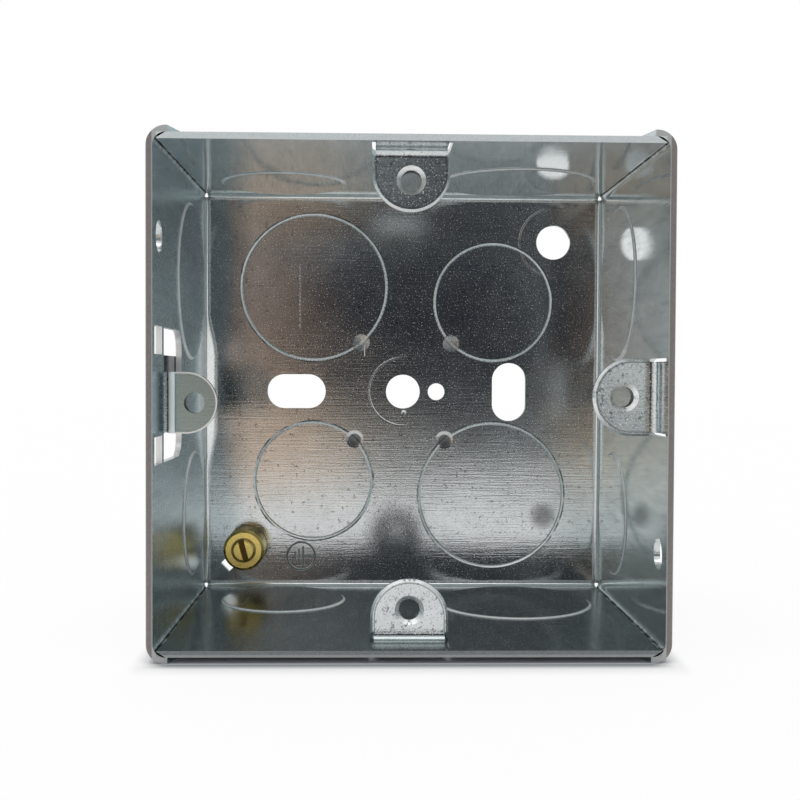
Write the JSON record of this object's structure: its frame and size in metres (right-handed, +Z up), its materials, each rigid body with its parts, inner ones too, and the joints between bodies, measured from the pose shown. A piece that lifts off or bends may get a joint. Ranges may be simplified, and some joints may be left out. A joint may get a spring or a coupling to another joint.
{
  "type": "metal back box",
  "caption": "Square pressed steel back box with scored knockouts, folded corners, lanced screw lugs, a sliding screw lug and a brass earth terminal.",
  "frame": {"origin": "middle of the back face, on the axis of the middle fixing hole", "axes": "+X to the right seen from the open front, +Y out of the back face towards the wall behind, +Z up"},
  "size_m": [0.0726, 0.047, 0.0726],
  "materials": {
    "zinc_steel": "bright galvanised, with fine rolling lines",
    "brass": "turned, slightly dull"
  },
  "bodies": {
    "box": {"box_body": "zinc_steel", "earth_terminal": "brass"},
    "lug": {"adjustable_lug": "zinc_steel"},
    "screw": {"earth_screw": "brass"}
  },
  "joints": [
    {"name": "lug_slide", "type": "slide", "parent": "box", "child": "lug", "axis": [0, 0, 1], "range_m": [-0.0037, 0.0037]},
    {"name": "screw_turn", "type": "hinge", "parent": "box", "child": "screw", "pos_m": [-0.0274, -0.0072, -0.0273], "axis": [0, -1, 0], "range_deg": [-720, 1080]}
  ]
}
